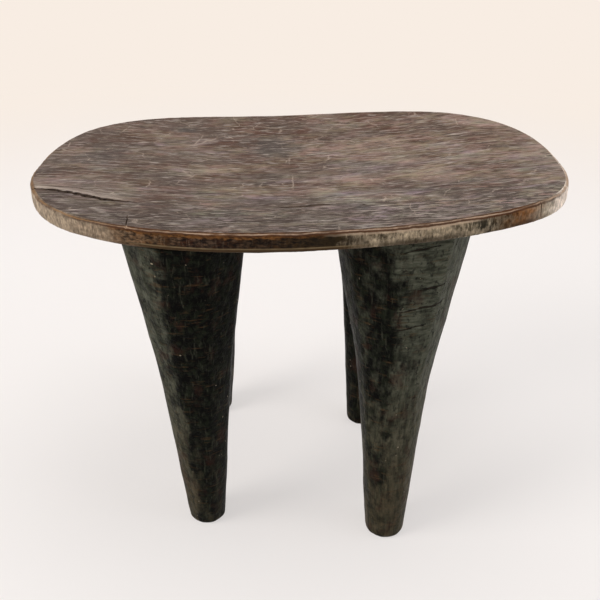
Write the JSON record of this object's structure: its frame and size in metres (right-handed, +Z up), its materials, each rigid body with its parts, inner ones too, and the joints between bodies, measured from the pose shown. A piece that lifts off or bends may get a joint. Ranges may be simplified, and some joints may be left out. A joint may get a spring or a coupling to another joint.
{
  "type": "carved wooden stool",
  "caption": "Low hand-carved wooden stool: a shallow dished, rounded-oblong seat on hewn legs that taper from a flared head to a blunt foot, joined by hidden stub tenons.",
  "frame": {"origin": "on the floor, under the middle of the seat", "axes": "+X along the seat's length to the right, +Y from front to back, +Z up"},
  "size_m": [0.494, 0.3279, 0.3668],
  "materials": {
    "seat_wood": "weathered, worn satin",
    "leg_wood": "dark handled patina, satin"
  },
  "bodies": {
    "root": {"seat": "seat_wood", "leg_front_left": "leg_wood", "leg_front_right": "leg_wood", "leg_rear_left": "leg_wood", "leg_rear_right": "leg_wood"}
  },
  "joints": []
}
